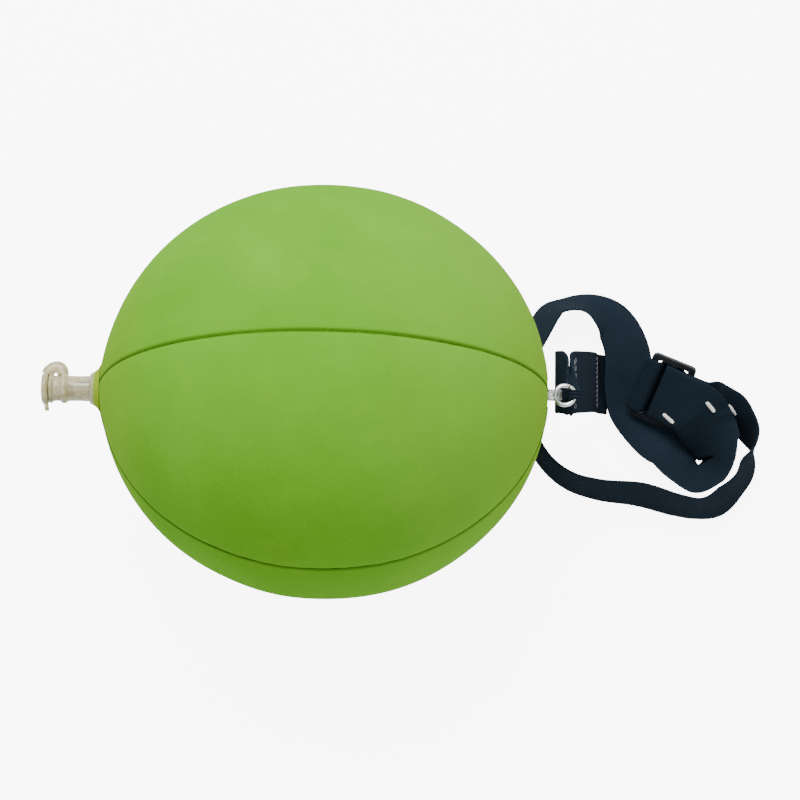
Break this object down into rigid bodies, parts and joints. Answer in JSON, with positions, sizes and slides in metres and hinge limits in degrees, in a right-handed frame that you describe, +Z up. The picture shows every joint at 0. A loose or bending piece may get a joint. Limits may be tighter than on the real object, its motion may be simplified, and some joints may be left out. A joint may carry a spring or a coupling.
{
  "type": "inflatable training ball with strap",
  "caption": "Flocked inflatable ball with a plug valve at one pole and a ring, webbing tab and adjustable webbing loop at the other.",
  "frame": {"origin": "centre of the flattened patch the ball rests on", "axes": "+X along the ball's pole axis from the valve to the webbing, +Z up"},
  "size_m": [0.2861, 0.16, 0.1591],
  "materials": {
    "flocked_skin": "matte flocked",
    "clear_vinyl": "clear, slightly yellow",
    "ring_metal": "bright",
    "black_webbing": "woven",
    "adjuster_plastic": "moulded",
    "white_thread": "stitched",
    "grey_thread": "stitched"
  },
  "bodies": {
    "ball": {"gore_panel_1": "flocked_skin", "gore_panel_2": "flocked_skin", "gore_panel_3": "flocked_skin", "gore_panel_4": "flocked_skin", "gore_panel_5": "flocked_skin", "valve_base": "clear_vinyl", "hang_patch": "clear_vinyl", "hang_loop": "clear_vinyl"},
    "valve": {"valve_stem": "clear_vinyl", "valve_tether": "clear_vinyl"},
    "flap": {"valve_flap": "clear_vinyl"},
    "stopper": {"valve_stopper": "clear_vinyl"},
    "ring": {"metal_ring": "ring_metal"},
    "tab": {"strap_tab": "black_webbing", "tab_seam": "grey_thread", "tab_bartack": "grey_thread"},
    "loop": {"neck_strap": "black_webbing", "tri_glide": "adjuster_plastic", "bar_tack_1": "white_thread", "bar_tack_2": "white_thread", "bar_tack_3": "white_thread"}
  },
  "joints": [
    {"name": "valve_push_in", "type": "slide", "parent": "ball", "child": "valve", "axis": [1, 0, 0], "range_m": [0, 0.008]},
    {"name": "flap_open", "type": "hinge", "parent": "valve", "child": "flap", "pos_m": [-0.0789, 0, 0.0836], "axis": [0, -1, 0], "range_deg": [0, 60]},
    {"name": "stopper_open", "type": "hinge", "parent": "valve", "child": "stopper", "pos_m": [-0.1063, 0.008, 0.0791], "axis": [0, 0, -1], "range_deg": [0, 100]},
    {"name": "ring_swing", "type": "hinge", "parent": "ball", "child": "ring", "pos_m": [0.08885, 0, 0.0791], "axis": [0, -1, 0], "range_deg": [0, 45]},
    {"name": "tab_swing", "type": "hinge", "parent": "ring", "child": "tab", "pos_m": [0.09635, 0, 0.0791], "axis": [0, -1, 0], "range_deg": [0, 80]},
    {"name": "loop_fold", "type": "hinge", "parent": "tab", "child": "loop", "pos_m": [0.1097, 0.0168, 0.0155], "axis": [0, -1, 0], "range_deg": [0, 45]}
  ]
}
